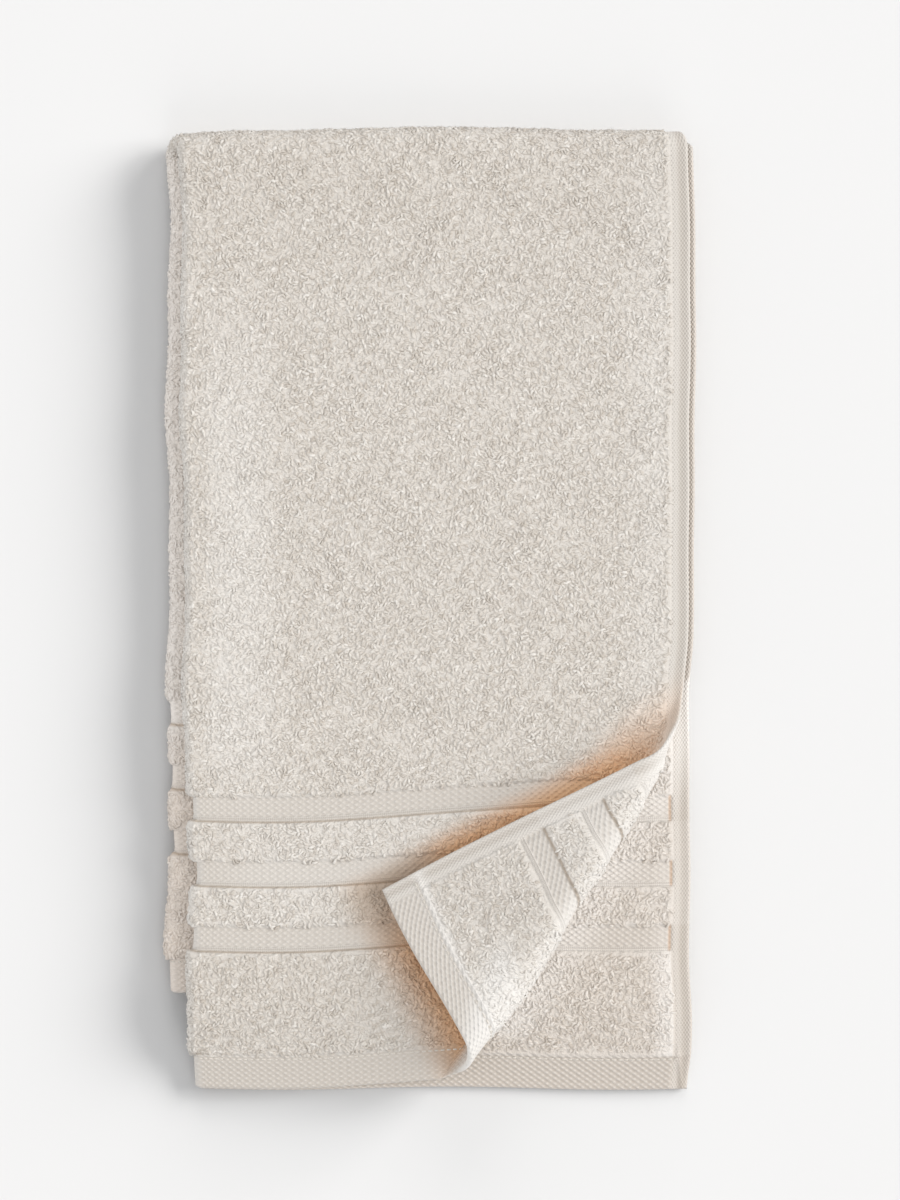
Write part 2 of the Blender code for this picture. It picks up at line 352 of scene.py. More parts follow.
def turn_corner(x, y, z):
    """Rolls the upper front layer's corner up and over."""
    run = np.maximum(past_roll(x, y), 0)
    along = ROLL_ALONG[0] * x + ROLL_ALONG[1] * y
    rise = ROLL_RISE + HEM_FLARE * smooth((FLARE_FROM - along) / (FLARE_FROM - FLARE_TO))
    mean = np.sqrt((ROLL_REACH**2 + rise**2) / 2)
    turn = np.minimum(run / mean, ROLL_TURN)
    rest = run - turn * mean
    slope = np.arctan2(rise * np.sin(turn), ROLL_REACH * np.cos(turn))
    out = (ROLL_REACH + roll_bulge(along)) * np.sin(turn) + rest * np.cos(slope)
    up = rise * (1 - np.cos(turn)) + rest * np.sin(slope)
    drift = roll_drift(run)
    x = x + (out - run) * ROLL_NORMAL[0] + drift * ROLL_ALONG[0]
    y = y + (out - run) * ROLL_NORMAL[1] + drift * ROLL_ALONG[1]
    return x, y, z + up


def draw_up(x, y, v):
    """The upper front layer is drawn up a little beside the roll, and the flap goes with it."""
    x = np.minimum(x, (ROLL_START - ROLL_NORMAL[1] * y) / ROLL_NORMAL[0])
    across = np.clip((x - RISE_FROM_X) / (RISE_TO_X - RISE_FROM_X), 0, 1)
    return y + RISE * across**2 * (1 - smooth((v - RISE_FULL_V) / RISE_FADE_V))


def stand_out(y):
    """How far the selvedges' side stands out at a place along it."""
    step, step_y, step_run = SIDE_STEP
    swell, swell_y, swell_run = SIDE_SWELL
    foot, foot_y, foot_run = SIDE_FOOT
    out = step * smooth((y - step_y) / step_run) + foot * smooth((foot_y - y) / foot_run)
    return out + swell * hump(y, swell_y, swell_run)


def settle(x, y, z):
    """The front end comes down past the rear half's end, and the pile makes all of it a little uneven."""
    z = z - SAG * smooth((REAR_END_Y - y) / SAG_RUN)
    swell = sum(np.sin(a * x + b * y + phase) for a, b, phase in SWELLS) / len(SWELLS)
    z = z + np.maximum(z - UNEVEN_FROM_Z, 0) * UNEVEN * swell
    from_left = (x - LEFT_X) / (BACK_X - LEFT_X)
    wander = sum(size * np.sin(waves * y + phase) for size, waves, phase in EDGE_WAVES)
    size, waves, phase = END_WAVE
    up = size * np.sin(waves * x + phase)
    corner = np.exp(-np.maximum(x - LEFT_X, 0) / CORNER_REACH) * smooth((y - TOP_Y + CORNER_RUN) / CORNER_RUN)
    side = stand_out(y) * np.maximum(from_left, 0) ** 3
    return x + wander * (1 - BACK_STEADY * from_left) + side, y + up - CORNER_DROP * corner, z


def lay_flat(u, v):
    """The upper front layer's place before its corner is turned."""
    x, height = fold_lengthwise(u, v)
    x, y, z = fold_crosswise(x, v, height)
    corner = (u < FOLD_U) & (v < FRONT_RUN)
    return x, np.where(corner, draw_up(x, y, v), y), z, corner


def place(u, v):
    """Where points of the flat cloth lie in the folded towel, at the middle of its thickness."""
    x, y, z, corner = lay_flat(u, v)
    turned = turn_corner(x, y, z)
    x, y, z = (np.where(corner, new, old) for new, old in zip(turned, (x, y, z)))
    x, y, z = settle(x, y, z)
    return np.stack((x + SHIFT[0], y + SHIFT[1], z), axis=-1)


def slopes(u, v):
    """How the folded cloth runs, for each metre across and along the flat one."""
    across = (place(u + PROBE, v) - place(u - PROBE, v)) / (2 * PROBE)
    along = (place(u, v + PROBE) - place(u, v - PROBE)) / (2 * PROBE)
    return across, along


def fold(points):
    """Folds points of the flat cloth, each given by u, v and its height above the cloth's middle."""
    u, v, h = points.T
    across, along = slopes(u, v)
    normal = np.cross(along, across)
    normal /= np.linalg.norm(normal, axis=1, keepdims=True)
    folded = place(u, v) + normal * h[:, None]
    folded[:, 2] = np.maximum(folded[:, 2], 0)
    return folded


def ripple(u, v, wave, seed, count=5):
    """A smooth uneven value of about -1 to 1, with swells about a wave's length apart."""
    draw = np.random.default_rng(seed)
    total = 0
    for heading, phase in draw.uniform(0, 2 * math.pi, (count, 2)):
        ahead = u * math.cos(heading) + v * math.sin(heading)
        total = total + np.sin(2 * math.pi * ahead / (wave * draw.uniform(0.75, 1.35)) + phase)
    return total / math.sqrt(count)


def ripples(u, v, swells):
    """The sum of several ripples, each given by its size, wave's length and seed."""
    return sum(size * ripple(u, v, wave, seed) for size, wave, seed in swells)


def stations(*runs):
    """Places from 0 on, each run going to an end in steps of about a given size."""
    places = [0.0]
    for end, step in runs:
        count = max(round((end - places[-1]) / step), 1)
        places += list(np.linspace(places[-1], end, count + 1)[1:])
    return np.array(places)


def lines_across():
    """Where the ground's lines lie across the cloth."""
    return stations(
        (SELVEDGE + NEAR_SELVEDGE, FACE_EDGE),
        (CORNER_WIDTH, FACE_SHOWN),
        (FOLD_U - NEAR_FOLD, FACE_LEVEL),
        (FOLD_U - FOLD_ARC / 2, FACE_SHOWN),
        (FOLD_U + FOLD_ARC / 2, FACE_FOLD),
        (FOLD_U + NEAR_FOLD, FACE_SHOWN),
        (WIDTH - SELVEDGE - NEAR_SELVEDGE, FACE_LEVEL),
        (WIDTH, FACE_EDGE),
    )


def end_runs(fine, coarse):
    """Runs of lines from a hem to the main pile, fine over the hem and the flat bands."""
    runs = [(HEM + NEAR_BAND, fine)]
    for start, end in zip(ZONE_ENDS[1::2], ZONE_ENDS[2::2]):
        runs += [(start - NEAR_BAND, coarse), (end + NEAR_BAND, fine)]
    return runs


def lines_along():
    """Where the ground's lines lie along the cloth."""
    front_end = end_runs(FACE_BAND, FACE_SHOWN)
    front = stations(*front_end, (CORNER_LENGTH, FACE_CORNER), (FRONT_RUN, FACE_LEVEL))
    bend = stations((BEND_ARC, FACE_BEND)) + FRONT_RUN
    rear = LENGTH - stations(*end_runs(FACE_REAR_BAND, FACE_REAR))[::-1]
    middle = stations((rear[0] - bend[-1], FACE_LEVEL)) + bend[-1]
    return np.concatenate((front, bend[1:], middle[1:], rear[1:]))


def deselect():
    """Leaves nothing selected."""
    for piece in bpy.context.selected_objects:
        piece.select_set(False)


def ground_body(u, v):
    """Half the ground cloth's thickness."""
    distance = from_hem(v)
    selvedge = from_side(u)
    hidden = ramp(v - FRONT_RUN - BEND_ARC, *HIDDEN_PAST_BEND) * ramp(np.abs(u - FOLD_U), *HIDDEN_PAST_FOLD)
    hidden *= ramp(selvedge, *HIDDEN_PAST_SIDE)
    cord = np.where(u > FOLD_U, LOWER_CORD, 1.0)
    body = PILE_BODY + (HIDDEN_BODY - PILE_BODY) * hidden
    body += (BAND_BODY - body) * flat_share(v)
    for start in ZONE_ENDS[1::2]:
        inside = (distance - start) / MM
        body += STRIPE_RAISE * cord * np.interp(inside, STRIPE_MM, (0, 1, 1, 0))
        body -= GROOVE * cord * np.interp(np.abs(inside - GROOVE_AT_MM), GROOVE_MM, (1, 1, 0))
    body = np.where(distance < HEM, HEM_BODY, body)
    body += (SELVEDGE_BODY - body) * smooth((SELVEDGE + STEP / 2 - selvedge) / STEP)
    border = np.clip(np.minimum(selvedge, distance) / EDGE_ROUND, 0, 1)
    return body * np.sqrt(1 - (1 - border) ** 2)


def relief(u, v, reverse):
    """What stands out on one face only: the hem's folded edge and its end, on the reverse."""
    distance = from_hem(v) / MM
    side = from_side(u) / MM
    welt = WELT * np.interp(np.abs(distance - HEM / MM), WELT_MM, (1, 0.8, 0))
    welt *= np.interp(side, WELT_SIDE_MM, (0, 1))
    slit = SLIT * hump(side, SLIT_AT, SLIT_HALF) * flat_share(v) * (distance > HEM / MM + SLIT_FROM_HEM)
    end_line = (WIDTH - u) / MM - END_FOLD_AT - END_FOLD_SLANT * distance
    end_fold = END_FOLD * np.exp(-(end_line**2) / END_FOLD_SPREAD) * (distance < END_FOLD_LENGTH)
    return (welt + slit + end_fold) * MM * reverse


def flat_points(mesh):
    """A mesh's vertices, one row for each."""
    points = np.empty(len(mesh.vertices) * 3)
    mesh.vertices.foreach_get("co", points)
    return points.reshape(-1, 3)


def add_ground():
    """The woven cloth under the pile, one closed mesh: a flat grid, thickened, still unfolded."""
    across, along = lines_across(), lines_along()
    deselect()
    bpy.ops.mesh.primitive_grid_add(x_subdivisions=len(across) - 1, y_subdivisions=len(along) - 1, size=1)
    ground = bpy.context.object
    ground.name = "ground_cloth"
    mesh = ground.data
    flat = flat_points(mesh)
    flat[:, 0] = across[np.round((flat[:, 0] + 0.5) * (len(across) - 1)).astype(int)]
    flat[:, 1] = along[np.round((flat[:, 1] + 0.5) * (len(along) - 1)).astype(int)]
    mesh.vertices.foreach_set("co", flat.ravel())
    body = ground_body(flat[:, 0], flat[:, 1])
    group = ground.vertex_groups.new(name="body")
    for index, share in enumerate(body / body.max()):
        group.add([index], share, "REPLACE")
    solidify = ground.modifiers.new("Thickness", "SOLIDIFY")
    solidify.thickness = 2 * body.max()
    solidify.offset = 0
    solidify.vertex_group = "body"
    bpy.ops.object.modifier_apply(modifier=solidify.name)
    bpy.ops.object.mode_set(mode="EDIT")
    bpy.ops.mesh.select_all(action="SELECT")
    bpy.ops.mesh.remove_doubles(threshold=MERGE_WITHIN)
    bpy.ops.object.mode_set(mode="OBJECT")
    ground.vertex_groups.clear()
    return ground


def corner_values(mesh, values):
    """Values at the vertices, for each face corner."""
    corners = np.empty(len(mesh.loops), dtype=np.int32)
    mesh.loops.foreach_get("vertex_index", corners)
    return values[corners]


def add_uv(mesh, name, pairs):
    """A map, given for each face corner."""
    layer = mesh.uv_layers.new(name=name)
    layer.data.foreach_set("uv", pairs.astype(np.float32).ravel())


def add_value(mesh, name, values):
    """A value for each vertex, which a material reads by its name."""
    attribute = mesh.attributes.new(name, "FLOAT", "POINT")
    attribute.data.foreach_set("value", values.astype(np.float32))


def add_ground_maps(mesh, flat):
    """The map that the looks are baked to, with the reverse on its right, and the flat cloth's own map."""
    spots = corner_values(mesh, flat[:, :2])
    up = np.empty(len(mesh.polygons) * 3)
    mesh.polygons.foreach_get("normal", up)
    counts = np.empty(len(mesh.polygons), dtype=np.int32)
    mesh.polygons.foreach_get("loop_total", counts)
    below = np.repeat(up.reshape(-1, 3)[:, 2] < 0, counts)
    bake = np.stack((spots[:, 0] / WIDTH, spots[:, 1] / LENGTH), axis=-1)
    bake = bake * (0.5 - 2 * BAKE_MARGIN, 1 - 2 * BAKE_MARGIN) + BAKE_MARGIN
    bake[below, 0] += 0.5
    add_uv(mesh, "OFBake", bake)
    add_uv(mesh, "cloth", spots)


def add_weave_shares(mesh, u, v, reverse):
    """How much each place has of the selvedge, the corded stripes, the woven bands, the pile and the hems."""
    selvedge = from_side(u)
    edge = smooth((SELVEDGE + STEP / 2 - selvedge) / STEP)
    stripe, inside = 0, 0
    for start in ZONE_ENDS[1::2]:
        past = (from_hem(v) - start) / MM
        stripe = stripe + np.interp(past, CORD_MM, (0, 1, 1, 0))
        inside = inside + np.clip(past, INSIDE_MM[0], INSIDE_MM[1]) * (np.abs(past) < INSIDE_MM[1])
    flat_part = flat_share(v)
    add_value(mesh, "edge", edge)
    add_value(mesh, "stripe", stripe * (1 - edge))
    add_value(mesh, "inside", inside)
    add_value(mesh, "weave", flat_part * (1 - edge) * (1 - stripe))
    add_value(mesh, "pile", (1 - flat_part) * (1 - edge))
    # Painted shade in the groove at each band's edge, and at the far edge of the flap's bands.
    painted_crease_shade = hump(inside, *CREASE_MM) * (np.abs(inside) > 0) * (1 - reverse)
    for end in ZONE_ENDS[2::2]:
        painted_crease_shade += hump((from_hem(v) - end) / MM, *FLAP_CREASE_MM) * reverse * (u < FOLD_U)
    add_value(mesh, "painted_crease_shade", painted_crease_shade * (1 - edge))
    add_value(mesh, "hem", (from_hem(v) < HEM) * (1 - FLAP_HEM_LIGHTER * reverse * (u < FOLD_U)))
    add_value(mesh, "rim", ramp(selvedge, *RIM) * (1 - reverse * (u < FOLD_U)))
    add_value(mesh, "reverse", reverse)


def finish_ground(ground):
    """The ground's maps, its shares of each weave and of painted light and shade, and its folding."""
    mesh = ground.data
    flat = flat_points(mesh)
    u, v, h = flat.T
    reverse = (h < 0).astype(float)
    add_ground_maps(mesh, flat)
    add_weave_shares(mesh, u, v, reverse)
    # Painted warm shade in the slit beside the lower selvedge at each flat band.
    slit = hump(from_side(u) / MM, *WARM_SLIT_MM) * flat_share(v) * (from_hem(v) > HEM + STEP)
    slit *= WARM_SLIT * reverse * (u > FOLD_U)
    # Painted warm light, painted light and painted shade, as shares of the ground's colour.
    add_value(mesh, "painted_warm", np.maximum(painted_warm_share(u, v, h), slit))
    add_value(mesh, "painted_light", painted_light_share(u, v))
    # Painted shade beside the flap's tip, on the right side only.
    add_value(mesh, "shade", glow(u, v)[2] * (h > 0))
    flat[:, 2] = np.where(h < 0, h - relief(u, v, reverse), h)
    mesh.vertices.foreach_set("co", fold(flat).ravel())
    mesh.flip_normals()
    mesh.shade_smooth()


def seeds(u_from, u_to, v_from, v_to, pitch_u=LOOP_PITCH, pitch_v=LOOP_PITCH):
    """Loop places on a staggered grid, each moved a little at random."""
    columns = np.arange(u_from + pitch_u / 2, u_to, pitch_u)
    rows = np.arange(v_from + pitch_v / 2, v_to, pitch_v)
    u, v = np.meshgrid(columns, rows)
    u = u + pitch_u / 2 * (np.arange(len(rows)) % 2)[:, None]
    u = u + random.uniform(-SCATTER, SCATTER, u.shape) * pitch_u
    v = v + random.uniform(-SCATTER, SCATTER, v.shape) * pitch_v
    return u.ravel(), v.ravel()


def in_pile(u, v, face):
    """True where loops are woven in. The pile ends sharply at a stripe and hangs over its other edges."""
    distance = from_hem(v)
    over = (OVERHANG + ripples(u, v, [OVERHANG_UNEVEN])) * MM
    over = np.where((distance < HEM + BAND) & (face < 0), -OFF_REVERSE_HEM * MM, over)
    over = np.where((distance > ZONE_ENDS[1]) & (face < 0) & (u < FOLD_U), -OFF_FLAP_BAND * MM, over)
    keep = distance > ZONE_ENDS[-1] - over
    for start, end in zip(ZONE_ENDS[0::2], ZONE_ENDS[1::2]):
        keep |= (distance > start - over) & (distance < end - OFF_STRIPE * MM)
    return keep & (from_side(u) > SELVEDGE + (OFF_SELVEDGE + ripples(u, v, [OFF_SELVEDGE_UNEVEN])) * MM)


def tip_share(v):
    """Loops lie lower along the pile's edges, most where they hang over."""
    distance = from_hem(v)
    share = np.ones_like(v)
    low, run = LOW_AT_BAND
    for start in ZONE_ENDS[0::2]:
        past = (distance - start) / MM
        share -= low * (1 - smooth(past / run)) * (past > -HANGS_TO)
        share = np.where(past > -HANGS_TO, share, 1)
    low, run = LOW_AT_STRIPE
    for end in ZONE_ENDS[1::2]:
        before = (end - distance) / MM
        share -= np.where(before > 0, low * (1 - smooth(before / run)), 0)
    return share


def beside_flap(u, v):
    """How far places lie past the roll's line, along it, and past the flap's selvedge and its hem."""
    x, y, _, corner = lay_flat(u, v)
    run = past_roll(x, y)
    along = ROLL_ALONG[0] * x + ROLL_ALONG[1] * y
    flap_run = ROLL_TURN * ROLL_MEAN - run
    drift = roll_drift(flap_run)
    from_selvedge = BACK_X - x - (flap_run - run) * ROLL_NORMAL[0] + drift * ROLL_ALONG[0]
    from_end = y - FRONT_Y - RISE + (flap_run - run) * ROLL_NORMAL[1] - drift * ROLL_ALONG[1]
    return run, along, from_selvedge, from_end, corner


def under_flap(u, v, margin):
    """True where the flap lies over the upper front layer, further in than a margin from its edges."""
    run, _, from_selvedge, from_end, _ = beside_flap(u, v)
    return (run < 0) & (from_selvedge > margin) & (from_end > margin)


# Light and shade painted into the cloth's colour. Each pair is where a painted tint starts and the run over
# which it grows, or fades if below 0.

# Painted warm light, where light would come through the turned corner: how far it goes past the flap's
# selvedge, hem and roll.
WARM_PAST_SELVEDGE = 0.015
WARM_PAST_HEM = 0.030
WARM_AT_ROLL = 0.010  # it reaches further near the roll, and at the roll's upper end
WARM_AT_ROLL_RUN = 0.040
WARM_AT_END = 0.010
WARM_UP_ROLL = 0.012
ROLL_END = (-0.020, 0.035)
WARM_LOST_AT_END = 0.50
TIP_SPARED = (0.006, 0.030)  # and is weaker at the flap's tip
TIP_LEAST = 0.35

# Painted warm light on the lower front layer's reverse and on the rear half's strip on the left, and painted
# warm shade in the bands' slits.
WARM_SECOND = 0.07
WARM_REAR = 0.10
WARM_REAR_LOW = 0.06
WARM_SLIT = 0.7
WARM_SLIT_MM = (9.9, 0.6)  # its middle and its half width
REAR_STRIP = 0.030
REAR_LOW = (-0.050, -0.050)

# Painted shade beside the flap's tip; the colour is also darker on the cloth's end and near the crosswise
# fold.
SHADE_REACH = 0.030
SHADE_FULL = 1.25
SHADE_FROM_SELVEDGE = (-0.013, 0.010)
SHADE_LOW = 0.13
SHADE_TOP = 0.09
SHADE_TOP_V = (0.38, 0.07)

# Painted light, paler where light would come through the cloth's folded and rolled edges.
PALE_BESIDE_FLAP = 0.50
PALE_ALONG_ROLL = (-0.10, 0.08)
PALE_LOST_AT_END = 0.65
PALE_REAR = 0.95
PALE_LOST_LOW = 0.5
PALE_FOLD = 0.40
PALE_FOLD_U = (FOLD_ARC / 2 + 0.001, -0.004)
PALE_NEAR_FOLD = 0.34
PALE_NEAR_FOLD_U = ((0.006, 0.012), (0.055, -0.025))
PALE_NEAR_FOLD_V = ((0.13, 0.05), (0.42, -0.10))
PALE_NEAR_SIDE = 0.238
PALE_NEAR_SIDE_U = ((0.008, 0.008), (0.036, -0.020))
PALE_NEAR_SIDE_V = (0.15, 0.05)
PALE_ROLL = 0.55
PALE_ROLL_RUN = ((0.010, 0.005), (0.027, -0.009))
PALE_PAST_CREASE = 1.0
PAST_CREASE_RUN = (0.036, -0.026)
PAST_CREASE_V = (0.020, 0.012)
LOWER_SHOWN = 0.30
PALE_NEAR_SELVEDGE = 0.75
NEAR_SELVEDGE_U = (0.022, -0.008)
NEAR_SELVEDGE_PAST_BANDS = 0.3
PALE_BETWEEN_BANDS = 0.16
BETWEEN_BANDS_U = (0.010, 0.025)
PALE_FLAP_HEM = 0.55
FLAP_HEM_V = (HEM + 0.001, 0.003)  # its middle and its half width
FLAP_HEM_TO = 0.095
FLAP_FROM = 0.016
PALE_LOW_FLAP = 0.75
LOW_FLAP_V = (0.050, -0.015)
LOW_FLAP_RUN = (0.046, -0.014)


def glow(u, v):
    """The shares of painted warm light, painted light and painted shade on the upper front layer beside the
    flap, with a darker colour on its end and near the fold.
    """
    run, along, from_selvedge, from_end, corner = beside_flap(u, v)
    from_tip = np.hypot(from_selvedge, from_end)
    at_end = ramp(along, *ROLL_END)
    at_roll = WARM_AT_ROLL * smooth(1 + run / WARM_AT_ROLL_RUN)
    past_selvedge = WARM_PAST_SELVEDGE + at_roll + WARM_AT_END * at_end
    by_selvedge = from_selvedge / past_selvedge
    by_hem = from_end / WARM_PAST_HEM
    share = smooth(np.minimum(by_selvedge, by_hem) + 1)
    share *= TIP_LEAST + (1 - TIP_LEAST) * ramp(from_tip, *TIP_SPARED)
    share *= smooth(1 - run / (WARM_UP_ROLL + WARM_AT_END * at_end)) * corner
    on_selvedge_side = by_selvedge < by_hem
    painted_warm = share * (1 - WARM_LOST_AT_END * on_selvedge_side * at_end)
    painted_light = PALE_BESIDE_FLAP + (1 - PALE_BESIDE_FLAP) * ramp(along, *PALE_ALONG_ROLL)
    painted_light *= share * on_selvedge_side * (1 - PALE_LOST_AT_END * at_end)
    # Painted shade beside the flap's tip.
    shade = smooth(SHADE_FULL - from_tip / SHADE_REACH) * ramp(from_selvedge, *SHADE_FROM_SELVEDGE)
    # Darker on the cloth's end and near the crosswise fold.
    low = SHADE_LOW * (1 - smooth((v - ZONE_ENDS[1]) / STEP) * (1 - flat_share(v)))
    top = SHADE_TOP * ramp(v, *SHADE_TOP_V)
    return painted_warm, painted_light * (1 - shade), np.maximum(shade, low + top) * corner


def rear_strip(u, v):
    """1 on the strip of the rear half that shows on the left, 0 elsewhere."""
    return smooth((v - FRONT_RUN - BEND_ARC / 2) / BEND_ARC) * (np.abs(u - FOLD_U) < REAR_STRIP)


def low_rear(u, v):
    """1 on that strip's lower part."""
    _, y, _, _ = lay_flat(u, v)
    return rear_strip(u, v) * ramp(y, *REAR_LOW)


def painted_warm_share(u, v, h):
    """The share of painted warm light, on either face of the cloth."""
    rear = WARM_REAR * rear_strip(u, v) + WARM_REAR_LOW * low_rear(u, v)
    second = WARM_SECOND * (u > FOLD_U) * (v < FRONT_RUN)
    return np.where(h > 0, np.maximum(glow(u, v)[0], rear), second)


def painted_light_share(u, v):
    """The share of painted light, paler where light would come through the cloth's folded and rolled edges.
    """
    x, y, _, corner = lay_flat(u, v)
    run = past_roll(x, y)
    from_fold = np.abs(u - FOLD_U)
    from_lower_side = WIDTH - u
    front = v < FRONT_RUN
    lower = (run > 0) * (u > FOLD_U) * (v < LOWER_SHOWN)
    flap = corner * (run > FLAP_FROM)
    near_fold = ramp(from_fold, *PALE_NEAR_FOLD_U[0]) * ramp(from_fold, *PALE_NEAR_FOLD_U[1])
    near_fold *= ramp(v, *PALE_NEAR_FOLD_V[0]) * ramp(v, *PALE_NEAR_FOLD_V[1])
    near_side = ramp(u, *PALE_NEAR_SIDE_U[0]) * ramp(u, *PALE_NEAR_SIDE_U[1]) * ramp(v, *PALE_NEAR_SIDE_V)
    roll = ramp(run, *PALE_ROLL_RUN[0]) * ramp(run, *PALE_ROLL_RUN[1])
    past_crease = ramp(run, *PAST_CREASE_RUN) * ramp(v, *PAST_CREASE_V)
    near_selvedge = ramp(from_lower_side, *NEAR_SELVEDGE_U) * (from_lower_side > SELVEDGE) * (v > HEM)
    near_selvedge *= np.where(v < ZONE_ENDS[1], 1, NEAR_SELVEDGE_PAST_BANDS)
    # Painted light on the folds, the rear strip, the roll, past the crease, by the selvedge, between the
    # bands and on the flap.
    shares = (
        glow(u, v)[1],
        PALE_REAR * rear_strip(u, v) * (1 - PALE_LOST_LOW * low_rear(u, v)),
        PALE_FOLD * ramp(from_fold, *PALE_FOLD_U) * front,
        PALE_NEAR_FOLD * near_fold * front,
        PALE_NEAR_SIDE * near_side * front,
        PALE_ROLL * roll * corner,
        PALE_PAST_CREASE * past_crease * lower,
        PALE_NEAR_SELVEDGE * near_selvedge * lower,
        PALE_BETWEEN_BANDS * ((v > ZONE_ENDS[2]) & (v < ZONE_ENDS[5])) * ramp(from_fold, *BETWEEN_BANDS_U),
        PALE_FLAP_HEM * hump(v, *FLAP_HEM_V) * (run < FLAP_HEM_TO) * flap,
        PALE_LOW_FLAP * ramp(v, *LOW_FLAP_V) * ramp(run, *LOW_FLAP_RUN) * flap,
    )
    return np.maximum.reduce(shares)


def kept(u, v, keep, face=1):
    """The places that are kept and lie in the pile."""
    keep = keep & in_pile(u, v, face)
    return u[keep], v[keep]


def front_seeds():
    """Places of the loops on the upper front layer's right side."""
    u, v = seeds(SELVEDGE, FOLD_U - FOLD_ARC / 2, 0, FRONT_RUN)
    x, y, _, _ = lay_flat(u, v)
    in_roll = (past_roll(x, y) > 0) & (v > ROLLED_V) & (u > ROLLED_U)
    return kept(u, v, ~under_flap(u, v, FLAP_MARGIN) & ~in_roll)


def fold_seeds():
    """Places on the right side around both folds, closer together where the cloth is stretched round."""
    arc_from, arc_to = FOLD_U - FOLD_ARC / 2, FOLD_U + FOLD_ARC / 2
    lower_edge = WIDTH - SELVEDGE
    rear = FRONT_RUN + BEND_ARC
    parts = [
        seeds(arc_from, arc_to, 0, LENGTH, pitch_u=PITCH_ON_FOLDS),
        seeds(arc_to, arc_to + PAST_FOLD, 0, FRONT_RUN),
        seeds(arc_to, arc_to + PAST_FOLD_REAR, rear, LENGTH),
        seeds(arc_from - BEFORE_FOLD_REAR, arc_from, rear, LENGTH),
        seeds(SELVEDGE, arc_from, FRONT_RUN, rear, pitch_v=PITCH_ON_FOLDS),
        seeds(SELVEDGE, arc_from, rear, rear + PAST_BEND),
        seeds(lower_edge - SIDE_STRIP, lower_edge, 0, LENGTH),
        seeds(SELVEDGE, SELVEDGE + SIDE_STRIP, rear, LENGTH),
    ]
    u, v = (np.concatenate(column) for column in zip(*parts))
    return kept(u, v, u > 0)


def reverse_seeds():
    """Places on the reverse, where the turned corner and the lower front layer show it."""
    lower_edge = WIDTH - SELVEDGE
    parts = []
    for u_from, u_to in ((SELVEDGE, REVERSE_WIDTH), (WIDTH - REVERSE_WIDTH, lower_edge)):
        u, v = seeds(u_from, u_to, 0, REVERSE_LENGTH)
        x, y, _, _ = lay_flat(u, v)
        parts.append(kept(u, v, past_roll(x, y) > -REVERSE_MARGIN, -1))
    for u_from, u_to in ((SELVEDGE, SELVEDGE + SIDE_STRIP), (lower_edge - SIDE_STRIP, lower_edge)):
        u, v = seeds(u_from, u_to, REVERSE_LENGTH, LENGTH)
        parts.append(kept(u, v, u > 0))
    return tuple(np.concatenate(column) for column in zip(*parts))


def stop_at_stripes(v, points):
    """Keeps each loop on its own side of the corded stripes. v is where it is rooted."""
    for end in ZONE_ENDS[1::2]:
        last = end - LAST_AT_STRIPE * MM
        points = np.where((v < end) & (points > last), last, points)
        points = np.where((v > LENGTH - end) & (points < LENGTH - last), LENGTH - last, points)
    return points


def loop_triangles(count):
    """Triangles of so many loops: a point, three rings of three, and a point."""
    one = []
    for j in range(3):
        after = (j + 1) % 3
        one.append((0, 1 + after, 1 + j))
        for ring in (1, 4):
            one.append((ring + j, ring + after, ring + 3 + after))
            one.append((ring + j, ring + 3 + after, ring + 3 + j))
        one.append((7 + j, 7 + after, 10))
    starts = np.arange(count)[:, None, None] * LOOP_POINTS
    return (np.array(one)[None] + starts).reshape(-1, 3)


def loop_stretch(u, v, face):
    """How much longer the folded cloth is near the loops' tips, across and along."""
    height = np.full(len(u), face * STRETCH_AT)
    middle = fold(np.stack((u, v, height), axis=-1))
    beside = fold(np.stack((u + PROBE, v, height), axis=-1))
    ahead = fold(np.stack((u, v + PROBE, height), axis=-1))
    across = np.clip(np.linalg.norm(beside - middle, axis=1) / PROBE, *STRETCH_RANGE)
    along = np.clip(np.linalg.norm(ahead - middle, axis=1) / PROBE, *STRETCH_RANGE)
    return across[:, None], along[:, None]


def loop_form(u, v):
    """Each loop's points in its own frame: along it, to its side and up, with its heading drawn at random."""
    count = len(u)
    heading = random.uniform(0, 2 * math.pi, count)
    heading += ripples(u, v, [HEADING_SWAY])
    length = LOOP_LENGTH * random.uniform(*LENGTH_RANGE, count)
    bow = LOOP_BOW * random.uniform(*BOW_RANGE, count)
    radius = LOOP_RADIUS * random.uniform(*RADIUS_RANGE, count)
    tip = TIP_HEIGHT + ripples(u, v, TIP_SWELLS)
    tip -= TIP_SINK * random.uniform(0, 1, count) ** 2
    tip = tip * tip_share(v)
    spin = random.uniform(0, 2 * math.pi, count)
    steps = np.concatenate(([0.0], LOOP_STEPS, [1.0]))
    lengthways = (steps[None] - 0.5) * length[:, None]
    sideways = bow[:, None] * np.sin(math.pi * steps)[None]
    lift = np.concatenate(([0.0], LOOP_SHARE, [0.0]))
    height = ROOT_HEIGHT + (tip - radius - ROOT_HEIGHT)[:, None] * lift[None]
    turn = LOOP_ROUND[None, None, :] + spin[:, None, None]
    size = radius[:, None, None] * LOOP_SIZES[None, :, None]
    upwards = size * np.sin(turn)
    ring_along = lengthways[:, 1:4, None] - upwards * np.sin(LOOP_CLIMB)[None, :, None]
    ring_side = sideways[:, 1:4, None] + size * np.cos(turn)
    ring_up = height[:, 1:4, None] + upwards * np.cos(LOOP_CLIMB)[None, :, None]
    form = []
    for ends, rings in ((lengthways, ring_along), (sideways, ring_side), (height, ring_up)):
        form.append(np.concatenate((ends[:, :1], rings.reshape(count, 9), ends[:, 4:]), axis=1))
    return form, heading[:, None]


